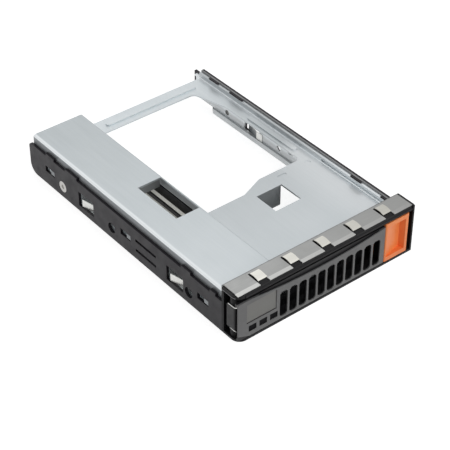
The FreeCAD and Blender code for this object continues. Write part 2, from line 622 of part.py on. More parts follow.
def screw_section(hand, clearance, reach):
    """Half section of a side screw's head and shank, grown by a clearance."""
    outside = f"({SIDE})"
    inside = f"({TRAY_SIDE} - {reach})"
    middle = "side_hole_height"
    head = f"({middle} + screw_head / 2 + {clearance})"
    shank = f"({middle} + screw_shank / 2 + {clearance})"
    shoulder = f"({TRAY_SIDE} + rail_wall / 3)"
    return polygon((f"{hand} * {outside}", middle), (f"{hand} * {outside}", head),
                   (f"{hand} * {shoulder}", head), (f"{hand} * {TRAY_SIDE}", shank),
                   (f"{hand} * {inside}", shank), (f"{hand} * {inside}", middle))


def make_side_screw(side, hand):
    """Countersunk screw that holds a rail to the tray."""
    body = new_body(f"{side}_rail_screw")
    revolve(body, "Revolution", "shaft", "side_screw_front",
            (f"{hand} * ({SIDE})", "side_hole_height"), screw_section(hand, "0", "sheet_wall + 1.6"))
    low, high = sorted((f"{hand} * ({SIDE} - 0.5)", f"{hand} * ({SIDE} + 0.5)"), key=number)
    extrude(body, "Pocket", "recess", "X", low, high,
            circle("side_screw_front", "side_hole_height", "screw_head * 0.38"))


def make_leaf(side, place, hand, front):
    """Spring leaf fixed inside the tray's wall, its free end leaning out through the window."""
    body = new_body(f"{side}_{place}_leaf")
    outer = f"{hand} * {TRAY_INSIDE}"
    inner = f"{hand} * ({TRAY_INSIDE} - leaf_wall)"
    tip_outer = f"{hand} * ({SIDE} - leaf_inset)"
    tip_inner = f"{hand} * ({SIDE} - leaf_inset - leaf_wall)"
    tip = f"({front} + leaf_window_length - leaf_tip_gap)"
    bend = f"({tip} - leaf_length)"
    extrude(body, "Pad", "leaf", "Z", "leaf_low", "leaf_low + leaf_height",
            polygon((outer, f"{bend} - leaf_tab"), (outer, bend), (tip_outer, tip), (tip_inner, tip),
                    (inner, bend), (inner, f"{bend} - leaf_tab")))


# ---- bezel -----------------------------------------------------------------------------------

def make_bezel():
    """Moulded front frame: floor, top with a lip, back wall with vents, right wall and hinge."""
    body = new_body("bezel")
    left = f"-({SIDE})"
    extrude(body, "Pad", "floor", "Z", "0", "bezel_floor", rectangle(left, BEZEL_RIGHT, "0", "bezel_depth"))
    extrude(body, "Pad", "back_wall", "Y", BACK_FRONT, "bezel_depth",
            rectangle(left, BEZEL_RIGHT, "0", "bezel_top"))
    extrude(body, "Pad", "top", "Z", "bezel_top - bezel_skin", "bezel_top",
            rectangle(left, BEZEL_RIGHT, "bezel_front", "bezel_depth"))
    extrude(body, "Pad", "lip", "Y", "bezel_front", "bezel_front + bezel_skin",
            rectangle(left, BEZEL_RIGHT, "lip_low", "bezel_top"))
    extrude(body, "Pad", "left_lip", "X", left, f"{left} + bezel_skin",
            rectangle("bezel_front", "bezel_depth", "lip_low", "bezel_top"))
    extrude(body, "Pad", "lip_bead", "X", f"{left} + corner_radius", BEZEL_RIGHT,
            polygon(("bezel_front", "lip_low"), ("bezel_front - lip_bead", "lip_low"),
                    ("bezel_front - lip_bead", "lip_low + lip_bead_height"),
                    ("bezel_front", "lip_low + lip_bead_height + lip_bead")))
    extrude(body, "Pad", "right_wall", "X", f"{BEZEL_RIGHT} - bezel_side", BEZEL_RIGHT,
            rectangle("0", "bezel_depth", "0", "bezel_top"))
    extrude(body, "Pad", "upper_boss", "Z", "barrel_top + pin_view", "bezel_top",
            circle(PIVOT_X, PIVOT_Y, "boss_diameter"))
    extrude(body, "Pad", "lower_boss", "Z", "0", "barrel_low - pin_view",
            circle(PIVOT_X, PIVOT_Y, "boss_diameter"))
    corner = round_edges(body, "left_corners", "corner_radius - bezel_front", body.Tip, "Z",
                         (left, "bezel_front"))
    round_edges(body, "left_floor_corner", "corner_radius", corner, "Z", (left, "0"))
    extrude(body, "Pocket", "pin_hole", "Z", "bezel_floor / 3", "bezel_top - bezel_skin / 2",
            circle(PIVOT_X, PIVOT_Y, "pin_diameter + 2 * fit"))
    first_vent = f"(vent_inset - {SIDE})"
    last_vent = f"({screw_places()[1][1]} - flange_width / 2 - vent_width)"
    vent = extrude(body, "Pocket", "vent", "Y", f"{BACK_FRONT} - 1", "bezel_depth + 1",
                   rectangle(first_vent, f"{first_vent} + vent_width", "vent_low", "vent_low + vent_height"))
    repeat(body, [vent], "vents", "H_Axis", f"{last_vent} - {first_vent}", "vent_count")
    for name, x, low in pipe_ends():
        extrude(body, "Pocket", name + "_hole", "Y", f"{BACK_FRONT} - 1", "bezel_depth + 1",
                rectangle(f"{x} - fit", f"{x} + pipe_side + fit", f"{low} - fit",
                          f"{low} + pipe_side + fit"))
    for side_name, middle, top in screw_places():
        extrude(body, "Pocket", side_name + "_screw_hole", "Y", f"{BACK_FRONT} - 1", "bezel_depth + 1",
                circle(middle, f"{top} - flange_drop / 2", "screw_shank + 2 * fit"))
    extrude(body, "Pad", "spring_stud", "X", f"{BEZEL_RIGHT} - bezel_side - 0.8",
            f"{BEZEL_RIGHT} - bezel_side",
            circle(SPRING_Y, SPRING_Z, "spring_diameter - 2 * spring_wire - 0.6"))


def make_bezel_screw(side, middle, top):
    """Pan-head screw through the back wall into a flange of the tray."""
    body = new_body(f"{side}_bezel_screw")
    height = f"({top} - flange_drop / 2)"
    extrude(body, "Pad", "head", "Y", f"{BACK_FRONT} - 1.8", BACK_FRONT, circle(middle, height, "screw_head"))
    extrude(body, "Pad", "shank", "Y", BACK_FRONT, "bezel_depth + sheet_wall + 3",
            circle(middle, height, "screw_shank"))
    extrude(body, "Pocket", "recess", "Y", f"{BACK_FRONT} - 2.8", f"{BACK_FRONT} - 0.7",
            stadium((f"{middle} - 1.2", height), (f"{middle} + 1.2", height), "0.9"))


def make_strip():
    """Contact strip on top of the bezel, with sprung fingers cut free that arch up from it."""
    body = new_body("contact_strip")
    extrude(body, "Pad", "strip", "Z", "bezel_top", STRIP_TOP,
            rectangle(f"0.5 - {SIDE}", f"{BEZEL_RIGHT} - 0.2", "strip_front", "strip_end"))
    first = f"(finger_inset - {SIDE})"
    leaf_left = f"{first} + finger_slit"
    room = extrude(body, "Pocket", "finger_room", "Z", "bezel_top - 1", f"{STRIP_TOP} + 1",
                   rectangle(first, f"{leaf_left} + finger_width - strip_wall",
                             "strip_front - 1", "finger_rear"))
    low = f"({STRIP_TOP} - strip_wall / 2)"
    rear = "(finger_rear + 2 * strip_wall)"
    finger = extrude(body, "Pad", "finger", "X", leaf_left, f"{leaf_left} + finger_width",
                     arch(f"(finger_front + {rear}) / 2", low, f"({rear} - finger_front) / 2",
                          f"(overall_height - {low})", "strip_wall"))
    repeat(body, [room, finger], "fingers", "H_Axis", "overall_width - finger_inset - finger_rest",
           "finger_count")


# ---- lever and its hinge ---------------------------------------------------------------------

def make_lever():
    """Slotted front lever with its hinge barrel, finger dip, label field and lamp windows."""
    body = new_body("lever")
    left = f"-({SIDE})"
    extrude(body, "Pad", "front", "Z", "lever_low", "lever_top",
            rectangle(left, LEVER_RIGHT, "0", "lever_wall"))
    extrude(body, "Pad", "edge", "Z", "lever_edge_low", "lever_top",
            rectangle(left, LEVER_RIGHT, "0", "lever_edge"))
    ribs_left = f"({PIVOT_X} + barrel_radius + 0.5)"
    for name, low in (("lower_rib", "lever_low"), ("upper_rib", "(lever_top - lever_rib)")):
        extrude(body, "Pad", name, "Z", low, f"{low} + lever_rib",
                rectangle(ribs_left, LEVER_RIGHT, "0", "lever_rib_depth"))
    extrude(body, "Pad", "end_rib", "X", f"{LEVER_RIGHT} - lever_rib", LEVER_RIGHT,
            rectangle("0", "lever_rib_depth", "lever_low", "lever_top"))
    barrel_front, barrel_rear = f"({PIVOT_Y} - barrel_radius)", f"({PIVOT_Y} + barrel_radius)"
    barrel_right = f"{PIVOT_X} + barrel_radius"
    extrude(body, "Pad", "web", "Z", "barrel_low", "barrel_top",
            rectangle(f"{left} + notch_depth", barrel_right, "0", PIVOT_Y))
    barrel = extrude(body, "Pad", "barrel", "Z", "barrel_low", "barrel_top",
                     rectangle(left, barrel_right, barrel_front, barrel_rear))
    round_edges(body, "barrel_edges", "barrel_edge", barrel, "Z",
                (left, barrel_front), (left, barrel_rear), (barrel_right, barrel_rear))
    extrude(body, "Pocket", "end_notch", "Z", "notch_low", "notch_top",
            rectangle(f"{left} - 1", f"{left} + notch_depth", "notch_front", barrel_front))
    extrude(body, "Pocket", "pin_bore", "Z", "lever_low - 1", "lever_top + 1",
            circle(PIVOT_X, PIVOT_Y, "pin_diameter + 2 * pin_play"))
    extrude(body, "Pocket", "coil_room", "Z", "coil_low", "coil_low + coil_height",
            rectangle(f"{PIVOT_X} - coil_room", f"{PIVOT_X} + coil_room",
                      f"{PIVOT_Y} - coil_room", f"{barrel_rear} + 1"))
    dip_radius = "((finger_dip_half^2 + finger_dip^2) / (2 * finger_dip))"
    extrude(body, "Pocket", "dip", "Y", "-1", "finger_dip_depth",
            circle(f"finger_dip_inset - {SIDE}", f"lever_top - finger_dip + {dip_radius}",
                   f"2 * {dip_radius}"))
    first_slot = f"(slot_inset - {SIDE})"
    last_slot = f"({LEVER_RIGHT} - slot_margin - slot_width)"
    slot = extrude(body, "Pocket", "slot", "Y", "-1", "lever_wall + 1",
                   cut_rectangle(first_slot, f"{first_slot} + slot_width", "slot_low", "slot_top",
                                 "slot_corner"))
    repeat(body, [slot], "slots", "H_Axis", f"{last_slot} - {first_slot}", "slot_count")
    label_left = f"(label_inset - {SIDE})"
    extrude(body, "Pocket", "label_field", "Y", "-1", "label_depth",
            rectangle(label_left, f"{label_left} + label_width", "label_low", "label_top"))
    lamp = extrude(body, "Pocket", "lamp", "Y", "-1", "lever_wall + 1",
                   rectangle(LAMP_LEFT, f"{LAMP_LEFT} + lamp_width", "lamp_low", "lamp_low + lamp_height"))
    repeat(body, [lamp], "lamps", "H_Axis", "lamp_pitch * (lamp_count - 1)", "lamp_count")


def make_lens():
    """Clear bar behind the lever's front that fills its lamp windows."""
    body = new_body("lamp_lens")
    right = f"{LAMP_LEFT} + lamp_pitch * (lamp_count - 1) + lamp_width"
    extrude(body, "Pad", "bar", "Y", "lever_wall", "lever_wall + 1",
            rectangle(f"{LAMP_LEFT} + gap", f"{right} + 0.6", "lamp_low - 0.6", "lamp_low + lamp_height + 4.6"))
    window = extrude(body, "Pad", "window", "Y", "label_depth", "lever_wall",
                     rectangle(f"{LAMP_LEFT} + fit", f"{LAMP_LEFT} + lamp_width - fit",
                               "lamp_low + fit", "lamp_low + lamp_height - fit"))
    repeat(body, [window], "windows", "H_Axis", "lamp_pitch * (lamp_count - 1)", "lamp_count")


def make_pin():
    """Steel pin of the lever's hinge."""
    body = new_body("lever_pin")
    extrude(body, "Pad", "pin", "Z", "bezel_floor / 3", "bezel_top - bezel_skin / 2",
            circle(PIVOT_X, PIVOT_Y, "pin_diameter"))


def make_coil(label, axis, centre, start, length, mean, wire):
    """Coil spring along X or Z: a six-sided wire along short straight steps of a helix."""
    run = number(length) - number(wire)
    radius, reach = number(mean) / 2, number(wire) / 2
    steps = int(number("coil_turns * coil_steps"))
    turn = 2 * math.pi / number("coil_steps")
    path = [Vector(radius * math.cos(turn * step), radius * math.sin(turn * step), run * step / steps)
            for step in range(steps + 1)]
    outward = Vector(1, 0, 0)
    across = (path[1] - path[0]).normalize().cross(outward)
    section = [path[0] + outward * reach * math.cos(corner * math.pi / 3)
               + across * reach * math.sin(corner * math.pi / 3) for corner in range(7)]
    spring = doc.addObject("Part::Feature", label)
    spring.Label = label
    spring.Shape = Part.makePolygon(path).makePipeShell([Part.makePolygon(section)], True, False, 1)
    turned = FreeCAD.Rotation(Vector(0, 0, 1), Vector(1, 0, 0) if axis == "X" else Vector(0, 0, 1))
    place = Vector(*(number(value) for value in centre))
    place["XYZ".index(axis)] = number(start) + reach
    spring.Placement = FreeCAD.Placement(place - Vector(0, number("overall_length") / 2, 0), turned)
    return spring


# ---- release button --------------------------------------------------------------------------

def make_button():
    """Release button with a thumb scoop, a bore for its spring and a catch beside the lever."""
    body = new_body("release_button")
    block = extrude(body, "Pad", "block", "Z", "button_low", "button_top",
                    rectangle(BUTTON_LEFT, BUTTON_RIGHT, "0", "button_depth"))
    round_edges(body, "front_edges", "0.8", block, "Z",
                (BUTTON_LEFT, "0"), (BUTTON_RIGHT, "0"))
    scoop_left = f"{BUTTON_LEFT} + scoop_margin / 2"
    scoop_right = f"{BUTTON_RIGHT} - scoop_margin"
    extrude(body, "Pocket", "scoop", "Z", "button_low + scoop_inset", "button_top - scoop_inset",
            polygon((scoop_left, "-1"), (scoop_left, "scoop_start"),
                    (f"{scoop_right} - scoop_edge", "scoop_depth"),
                    (scoop_right, "0"), (scoop_right, "-1")))
    extrude(body, "Pocket", "spring_bore", "X", f"{BUTTON_RIGHT} - spring_depth", f"{BUTTON_RIGHT} + 1",
            circle(SPRING_Y, SPRING_Z, "spring_diameter + 0.3"))


# ---- light pipes -----------------------------------------------------------------------------

def pipe_ends():
    """Name, left side at the front and lower side of the two light pipes."""
    return (("upper_pipe", f"({LAMP_LEFT} + lamp_pitch + lamp_width / 2 - pipe_side / 2)", "pipe_upper"),
            ("lower_pipe", f"({LAMP_LEFT} + lamp_pitch * 2 + lamp_width / 2 - pipe_side / 2)", "pipe_lower"))


def make_pipe(name, x, low):
    """Light pipe from the rear of the tray to the bezel, stepping aside near the front."""
    body = new_body(name)
    outline = polygon(
        (x, "pipe_front"), (f"{x} + pipe_side", "pipe_front"), (f"{x} + pipe_side", "bezel_depth + 6"),
        (PIPE_RIGHT, "channel_front - 6"), (PIPE_RIGHT, "pipe_end"), (PIPE_LEFT, "pipe_end"),
        (PIPE_LEFT, "channel_front - 5"), (x, "bezel_depth + 7"))
    extrude(body, "Pad", "pipe", "Z", low, f"{low} + pipe_side", outline)


def make_channel():
    """Dark channel under the step: a wall with two troughs that carry the light pipes."""
    body = new_body("pipe_channel")
    extrude(body, "Pad", "wall", "Y", "channel_front", "channel_end",
            rectangle(PIPE_RIGHT, STEP, "channel_low", "panel_height - sheet_wall"))
    for name, low in (("lower", "pipe_lower"), ("upper", "pipe_upper")):
        floor = f"{low} - channel_wall"
        lip = f"({PIPE_LEFT} - channel_wall)"
        extrude(body, "Pad", name + "_trough", "Y", "channel_front", "channel_end",
                polygon((PIPE_RIGHT, floor), (lip, floor), (lip, f"{low} + pipe_side - 0.3"),
                        (PIPE_LEFT, f"{low} + pipe_side - 0.3"), (PIPE_LEFT, low), (PIPE_RIGHT, low)))


make_tray()
for side, hand in (("left", -1), ("right", 1)):
    make_rail(side, hand)
    make_side_screw(side, hand)
    for place, front in zip(("front", "rear"), LEAF_FRONTS):
        make_leaf(side, place, hand, front)
make_bezel()
for side, middle, top in screw_places():
    make_bezel_screw(side, middle, top)
make_strip()
make_lever()
make_lens()
make_pin()
make_coil("lever_spring", "Z", (PIVOT_X, PIVOT_Y, "0"), "coil_low + gap", "coil_height - 2 * gap",
          "coil_mean", "spring_wire")
make_button()
make_coil("button_spring", "X", ("0", SPRING_Y, SPRING_Z), f"{BUTTON_RIGHT} - spring_depth + 2 * fit",
          "button_gap + spring_depth - 4 * fit",
          "spring_diameter - spring_wire", "spring_wire")
for name, x, low in pipe_ends():
    make_pipe(name, x, low)
make_channel()
doc.recompute()

pieces = [item for item in doc.Objects if item.TypeId in ("PartDesign::Body", "Part::Feature")]
for item in doc.Objects:
    if {"Invalid", "Error"} & set(item.State):
        raise RuntimeError(f"{item.Label} failed: {item.State}")
    if item.TypeId in ("PartDesign::Pocket", "PartDesign::Groove"):
        if item.Shape.Volume >= item.BaseFeature.Shape.Volume:
            raise RuntimeError(f"{item.Label} cuts nothing")
for piece in pieces:
    if piece.Shape.isNull() or not piece.Shape.isValid():
        raise RuntimeError(f"{piece.Label} has no valid shape")
os.makedirs("parts", exist_ok=True)
for piece in pieces:
    piece.Shape.exportStep(f"parts/{piece.Label}.step")
    box = piece.Shape.BoundBox
    print(f"{piece.Label}: {len(piece.Shape.Solids)} solid, {piece.Shape.Volume:.1f} mm3, "
          f"X {box.XMin:.2f} to {box.XMax:.2f}, Y {box.YMin:.2f} to {box.YMax:.2f}, "
          f"Z {box.ZMin:.2f} to {box.ZMax:.2f}")
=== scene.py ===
import math

import bpy
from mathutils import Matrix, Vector


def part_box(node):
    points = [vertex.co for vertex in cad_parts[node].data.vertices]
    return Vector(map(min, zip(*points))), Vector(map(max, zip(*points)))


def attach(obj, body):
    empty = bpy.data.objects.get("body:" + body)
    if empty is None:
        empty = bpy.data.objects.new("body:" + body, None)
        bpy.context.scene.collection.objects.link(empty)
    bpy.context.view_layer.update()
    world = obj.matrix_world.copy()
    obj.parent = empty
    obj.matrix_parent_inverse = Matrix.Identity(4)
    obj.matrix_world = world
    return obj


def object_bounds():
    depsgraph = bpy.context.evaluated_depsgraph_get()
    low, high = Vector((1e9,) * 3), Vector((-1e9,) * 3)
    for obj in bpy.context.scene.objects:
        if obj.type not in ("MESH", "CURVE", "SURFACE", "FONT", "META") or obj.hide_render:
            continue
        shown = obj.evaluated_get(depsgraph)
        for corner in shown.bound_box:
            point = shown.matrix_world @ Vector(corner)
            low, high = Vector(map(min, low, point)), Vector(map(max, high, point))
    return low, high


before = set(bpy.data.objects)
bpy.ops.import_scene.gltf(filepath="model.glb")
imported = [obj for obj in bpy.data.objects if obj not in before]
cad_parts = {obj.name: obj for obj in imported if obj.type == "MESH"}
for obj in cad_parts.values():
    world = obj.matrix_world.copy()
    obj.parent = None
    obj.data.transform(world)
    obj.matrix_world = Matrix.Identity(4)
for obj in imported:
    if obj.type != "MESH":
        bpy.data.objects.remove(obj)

# Hot swap drive caddy: finishes for its solids, the lever spring's two wire ends, and the stage.

MM = 0.001

# ---- camera and stage, in metres unless a comment says otherwise ------------------------------

CAMERA_AZIMUTH = 38.64       # degrees from the caddy's long axis, from its left side
CAMERA_ELEVATION = 38.46     # degrees above the floor
CAMERA_DISTANCE = 0.72955
CAMERA_AIM = (-4.30 * MM, -13.0 * MM, -0.27 * MM)
CAMERA_LENS = 120.58         # mm
SENSOR_WIDTH = 36            # mm
CAMERA_NEAR = 0.01

WORLD_LIGHT = 0.32           # light that the surroundings give
FLOOR_GLOW = 0.8             # what lifts the floor to white where it is seen
FLOOR_SIZE = 3.0             # half of its side
FLOOR_GAP = 0.02 * MM        # between the floor and the caddy
SHADE_INSET = 4 * MM         # the floor is left dark under the caddy as painted shadow, from here in,
SHADE_LENGTH = 60 * MM       # to this far behind its front end,
SHADE_WIDTH = 14 * MM        # and to this far in along its left side,
SHADE_END = 25 * MM          # where the dark ends this far from its rear end
LIGHT_SIZE = 0.9             # side of each soft box
LIGHTS = (("key", (0.05, -0.75, 1.2), 3.2),
          ("fill", (0.3, -1.25, 0.4), 6),
          ("rim", (0.3, 1.1, 0.9), 1))

# ---- tray ------------------------------------------------------------------------------------

STEP_PLACE = -22.3 * MM      # the sheet steps down here, from its raised left part to its panel
PANEL_FADE = 60 * MM         # behind its middle the panel brightens again over this length, as its painted shade fades
BRIGHT_FROM = 26 * MM        # the panel is painted brighter, as painted light, from here to its right side
WALL_ROOM = 4.5 * MM         # width that the right wall and its folded rim take
RIM_FADE = 40 * MM           # over this length the right rim is painted darker, as painted shade
RIM_LOW = 5.2 * MM           # the rim's painted shade fades in from here, below the tray's top,
RIM_HIGH = 4.2 * MM          # and is full from here up
WALL_FOOT = 6.6 * MM         # the right wall is painted darker, as painted shade, up to here
FOOT_FADE = 2 * MM
BEND = 2 * MM                # the left bend has a painted highlight this far in from the left side,
BEND_END = 3 * MM            # and the highlight ends here
BEND_DEPTH = 1 * MM          # it is on the sheet's upper face only
WALL_DEPTH = 1.25 * MM       # the left wall's outer face lies within this from the left side
WALL_SHADE_FROM = 1.5 * MM         # the wall darkens over this height below the bend, as painted shade
INSIDE_LEFT = 2.2 * MM       # what lies in from here and below the sheet is painted darker, as painted shade
INSIDE_TOP = 1.05 * MM

# ---- rails and bezel -------------------------------------------------------------------------

EDGE = 0.55 * MM             # width of an edge with a painted highlight, or that keeps its grey round a slot whose inside is painted black as painted shade
HIGHLIGHT_END = 1.1 * MM        # the left rail's top has a painted highlight over this length at its front end
LINE_OUTER = 1.21 * MM       # a line along the right rail's top is painted grey, from here
LINE_INNER = 2.09 * MM       # to here, in from its right side
LINE_DEPTH = 1.65 * MM
BEZEL_LIP = 24.3 * MM        # lower edge of the bezel's left end
STRIP_LAP = 0.1 * MM         # the bezel's grey top starts this far under the strip's rear edge

# ---- lever -----------------------------------------------------------------------------------

LABEL_LEFT = 5.2 * MM        # from the lever's left end to its label field
LABEL_WIDTH = 16.6 * MM
LABEL_LOW = 7.8 * MM         # above the lever's lower edge
LABEL_TOP = 18.3 * MM
BARREL_DEPTH = 2.3 * MM      # from the lever's front to its hinge barrel
BARREL_LENGTH = 6.3 * MM
DIP_DEPTH = 0.9 * MM         # the dip in the lever's upper edge is painted black, as painted shade, behind this depth
DIP_HEIGHT = 16.2 * MM
CORNER_SLOPE = 0.4           # the lower left corner is cut off black at this slope
CORNER_HEIGHT = 2.6 * MM
NOTCH_LOW = 2 * MM           # the notches under the label field start here
NOTCH_ROOM = 1 * MM          # and reach this far past its right end
NOTCH_DEPTH = 0.25 * MM

# ---- contact strip ---------------------------------------------------------------------------

FINGER_COUNT = 5
FINGER_INSET = 12.6 * MM     # from the strip's left end to the first finger
FINGER_PITCH = 18.6 * MM
FINGER_WIDTH = 6 * MM
FINGER_FRONT = 2.6 * MM      # from the strip's front edge to the fingers
FINGER_REAR = 8.6 * MM
EDGE_DEPTH = 2.1 * MM        # the strip's front edge, painted bright as a painted highlight
STRIP_END = 1.1 * MM         # the strip's blackened right end

# ---- edge breaks and wire --------------------------------------------------------------------

SHEET_BREAK = 0.2 * MM
MOULD_BREAK = 0.25 * MM
STRIP_BREAK = 0.1 * MM
SHARP_ANGLE = 40             # degrees, edges sharper than this are broken
WIRE_RADIUS = 0.25 * MM      # of the lever spring's ends, whose points are in millimetres
UPPER_LEG = ((-52.7, -75.8, 19.32), (-52.7, -79.2, 19.32), (-52.5, -81.0, 19.5), (-51.2, -81.7, 20.4))
LOWER_LEG = ((-52.6, -77.2, 6.1), (-52.7, -78.6, 6.1), (-52.7, -80.3, 6.1), (-51.9, -80.5, 5.2))

# ---- values that several materials share -----------------------------------------------------

NOISE_LOW = 0.3              # a noise value seldom leaves this range
NOISE_HIGH = 0.7
BLACK = (0.008, 0.008, 0.009)
SOFT_BLACK = (0.012, 0.012, 0.013)
# grey of the painted highlights on the rails and bezel
HIGHLIGHT_GREY = (0.3, 0.3, 0.31)


# ---- materials -------------------------------------------------------------------------------

class Surface:
    """A Principled material with helpers that wire procedural detail into it."""

    def __init__(self, name, color, roughness, metallic=0.0, **sockets):
        self.material = bpy.data.materials.new(name)
        self.material.use_nodes = True
        self.tree = self.material.node_tree
        self.shader = self.tree.nodes["Principled BSDF"]
        self.shader.inputs["Base Color"].default_value = (*color, 1)
        self.shader.inputs["Roughness"].default_value = roughness
        self.shader.inputs["Metallic"].default_value = metallic
        for socket, value in sockets.items():
            self.shader.inputs[socket.replace("_", " ")].default_value = value
        self.place = self.tree.nodes.new("ShaderNodeTexCoord").outputs["Object"]

    def link(self, source, target):
        self.tree.links.new(source, target)

    def noise(self, scale, stretch=(1, 1, 1), detail=3):
        """Noise in the object's own coordinates, scale in features per metre."""
        mapping = self.tree.nodes.new("ShaderNodeMapping")
        mapping.inputs["Scale"].default_value = stretch
        self.link(self.place, mapping.inputs["Vector"])
        noise = self.tree.nodes.new("ShaderNodeTexNoise")
        noise.inputs["Scale"].default_value = scale
        noise.inputs["Detail"].default_value = detail
        self.link(mapping.outputs["Vector"], noise.inputs["Vector"])
        return noise.outputs["Fac"]

    def spread(self, value, low, high, bottom=NOISE_LOW, top=NOISE_HIGH):
        """Map a value from bottom..top onto low..high."""
        node = self.tree.nodes.new("ShaderNodeMapRange")
        node.inputs["From Min"].default_value = bottom
        node.inputs["From Max"].default_value = top
        node.inputs["To Min"].default_value = low
        node.inputs["To Max"].default_value = high
        self.link(value, node.inputs["Value"])
        return node.outputs["Result"]

    def tint(self, value, dark, light):
        """Colour that runs from dark to light with a noise value."""
        ramp = self.tree.nodes.new("ShaderNodeValToRGB")
        ramp.color_ramp.elements[0].position = NOISE_LOW
        ramp.color_ramp.elements[0].color = (*dark, 1)
        ramp.color_ramp.elements[1].position = NOISE_HIGH
        ramp.color_ramp.elements[1].color = (*light, 1)
        self.link(value, ramp.inputs["Fac"])
        self.link(ramp.outputs["Color"], self.shader.inputs["Base Color"])

    def polish(self, value, low, high):
        """Roughness that varies with a noise value."""
        self.link(self.spread(value, low, high), self.shader.inputs["Roughness"])

    def bump(self, value, depth, strength):
        """Relief of a depth in metres."""
        node = self.tree.nodes.new("ShaderNodeBump")
        node.inputs["Strength"].default_value = strength
        node.inputs["Distance"].default_value = depth
        self.link(value, node.inputs["Height"])
        self.link(node.outputs["Normal"], self.shader.inputs["Normal"])
        return self

    def math(self, operation, first, second):
        """Result of a Math node whose inputs are sockets or numbers."""
        node = self.tree.nodes.new("ShaderNodeMath")
        node.operation = operation
        for socket, value in zip(node.inputs, (first, second)):
            if isinstance(value, (int, float)):
                socket.default_value = value
            else:
                self.link(value, socket)
        return node.outputs["Value"]

    def axis(self, name, start=0):
        """One coordinate of the object's own frame, counted from a start."""
        split = self.tree.nodes.new("ShaderNodeSeparateXYZ")
        self.link(self.place, split.inputs["Vector"])
        return self.math("SUBTRACT", split.outputs[name], start) if start else split.outputs[name]

    def above(self, value, limit):
        """1 where a value is over a limit, else 0."""
        return self.math("GREATER_THAN", value, limit)

    def below(self, value, limit):
        """1 where a value is under a limit, else 0."""
        return self.math("LESS_THAN", value, limit)

    def every(self, first, *others):
        """1 where all of the masks are 1."""
        for mask in others:
            first = self.math("MULTIPLY", first, mask)
        return first

    def between(self, value, low, high):
        """1 where a value lies between two limits, else 0."""
        return self.every(self.above(value, low), self.below(value, high))

    def rise(self, name, start, end):
        """Runs from 0 at the start to 1 at the end of a stretch of an axis."""
        return self.spread(self.axis(name), 0, 1, bottom=start, top=end)

    def fall(self, name, start, end):
        """Runs from 1 at the start to 0 at the end of a stretch of an axis."""
        return self.spread(self.axis(name), 1, 0, bottom=start, top=end)

    def recolor(self, mask, color):
        """Another colour where a mask is 1."""
        mix = self.tree.nodes.new("ShaderNodeMix")
        mix.data_type = "RGBA"
        self.link(mask, mix.inputs["Factor"])
        self.link(self.shader.inputs["Base Color"].links[0].from_socket, mix.inputs["A"])
        mix.inputs["B"].default_value = (*color, 1)
        self.link(mix.outputs["Result"], self.shader.inputs["Base Color"])
        return self


def zinc_steel():
    """Zinc plated sheet: cool satin grey with faint rolling lines across the tray."""
    steel = Surface("zinc_steel", (0.62, 0.66, 0.68), 0.42, 0.72)
    rolling = steel.noise(900, stretch=(1, 0.04, 1), detail=4)
    steel.tint(steel.noise(26, detail=2), (0.60, 0.645, 0.665), (0.655, 0.695, 0.715))
    steel.polish(rolling, 0.36, 0.50)
    low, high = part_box("tray")
    x, y, z = steel.axis("X"), steel.axis("Y"), steel.axis("Z")

    # painted shade: the raised left part darkens towards its rear, and the panel towards its middle
    plateau = steel.every(steel.rise("Y", low[1], high[1]), steel.below(x, STEP_PLACE))
    steel.recolor(plateau, (0.47, 0.505, 0.52))
    panel = steel.every(steel.rise("Y", low[1], 0), steel.above(x, STEP_PLACE),
                        steel.fall("Y", 0, PANEL_FADE))
    steel.recolor(panel, (0.50, 0.53, 0.545))
    # painted light: the panel's front right part is lighter, and the right wall lighter still
    right_side = steel.every(steel.rise("X", BRIGHT_FROM, high[0]), steel.below(x, high[0] - WALL_ROOM),
                             steel.fall("Y", -WALL_ROOM, WALL_ROOM))
    steel.recolor(right_side, (0.74, 0.765, 0.78))

    right_wall = steel.above(x, high[0] - WALL_ROOM)
    steel.recolor(right_wall, (0.78, 0.815, 0.835))
    # painted shade: the right rim darkens towards its rear and top, and the right wall's rear part at its
    # foot
    rear_rim = steel.every(steel.rise("Y", -RIM_FADE, 0),
                           steel.rise("Z", high[2] - RIM_LOW, high[2] - RIM_HIGH))
    steel.recolor(steel.every(right_wall, rear_rim), (0.52, 0.545, 0.56))
    rear_foot = steel.every(steel.above(x, high[0] - 2 * WALL_ROOM), steel.above(y, -WALL_ROOM),
                            steel.fall("Z", WALL_FOOT, WALL_FOOT + FOOT_FADE))
    steel.recolor(rear_foot, (0.56, 0.58, 0.59))

    # painted highlight along the upper face of the left bend
    bend = steel.every(steel.fall("X", low[0] + BEND, low[0] + BEND_END),
                       steel.above(z, high[2] - BEND_DEPTH))
    steel.recolor(bend, (0.84, 0.87, 0.89))
    # painted shade: the left wall darkens below the bend, and what lies under the raised part is darker
    left_wall = steel.every(steel.below(x, low[0] + WALL_DEPTH),
                            steel.fall("Z", high[2] - WALL_SHADE_FROM, high[2]))
    steel.recolor(left_wall, (0.25, 0.265, 0.275))
    inside = steel.every(steel.between(x, low[0] + INSIDE_LEFT, STEP_PLACE),
                         steel.below(z, high[2] - INSIDE_TOP))
    steel.recolor(inside, (0.30, 0.315, 0.32))
    return steel.bump(rolling, 0.012 * MM, 0.35).material


